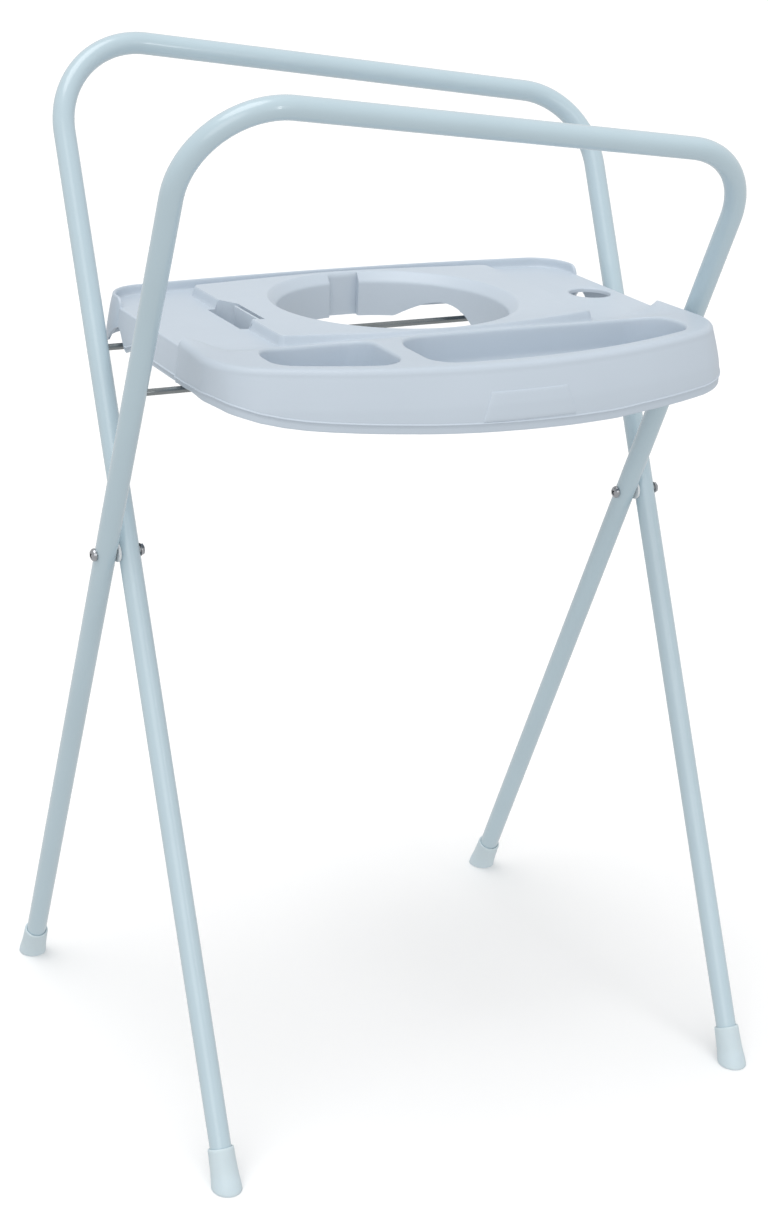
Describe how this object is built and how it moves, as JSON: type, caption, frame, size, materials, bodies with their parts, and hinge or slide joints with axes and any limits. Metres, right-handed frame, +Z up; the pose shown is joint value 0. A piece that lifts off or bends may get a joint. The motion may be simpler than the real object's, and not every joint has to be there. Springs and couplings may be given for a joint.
{
  "type": "baby bath stand",
  "caption": "Folding stand for a baby bath: two bent tube frames that cross on a pivot, cross rods, foot caps and a hinged storage tray with a drain opening.",
  "frame": {"origin": "on the floor in the middle of the footprint, with the stand open", "axes": "+Z up, +X along the bars to the right as seen from the front, +Y from the front (bath compartments) to the back"},
  "size_m": [0.6032, 0.5212, 0.9662],
  "materials": {
    "tube_paint": "gloss powder coat",
    "rod_zinc": "bright zinc",
    "hardware_zinc": "bright zinc",
    "tray_plastic": "satin",
    "cap_plastic": "satin",
    "spacer_plastic": "satin"
  },
  "bodies": {
    "front_bar_frame": {"front_rail_tube": "tube_paint", "front_cross_rod": "rod_zinc", "foot_cap_rear_left": "cap_plastic", "foot_cap_rear_right": "cap_plastic", "pivot_bolt_left": "hardware_zinc", "pivot_bolt_right": "hardware_zinc", "pivot_nut_left": "hardware_zinc", "pivot_nut_right": "hardware_zinc", "pivot_spacer_left": "spacer_plastic", "pivot_spacer_right": "spacer_plastic", "washer_left": "hardware_zinc", "washer_right": "hardware_zinc"},
    "rear_bar_frame": {"rear_rail_tube": "tube_paint", "rear_cross_rod": "rod_zinc", "foot_cap_front_left": "cap_plastic", "foot_cap_front_right": "cap_plastic", "pivot_bush_left": "spacer_plastic", "pivot_bush_right": "spacer_plastic"},
    "tray": {"tray_moulding": "tray_plastic", "rod_clip_left": "tray_plastic", "rod_clip_right": "tray_plastic", "clip_screws": "hardware_zinc"}
  },
  "joints": [
    {"name": "frame_fold", "type": "hinge", "parent": "front_bar_frame", "child": "rear_bar_frame", "pos_m": [0, 0, 0.5335], "axis": [1, 0, 0], "range_deg": [0, 45]},
    {"name": "tray_lift", "type": "hinge", "parent": "front_bar_frame", "child": "tray", "pos_m": [0, -0.07793, 0.70294], "axis": [1, 0, 0], "range_deg": [0, 90]}
  ],
  "couplings": [
    {"joint": "tray_lift", "follows": "frame_fold", "ratio": 2}
  ]
}
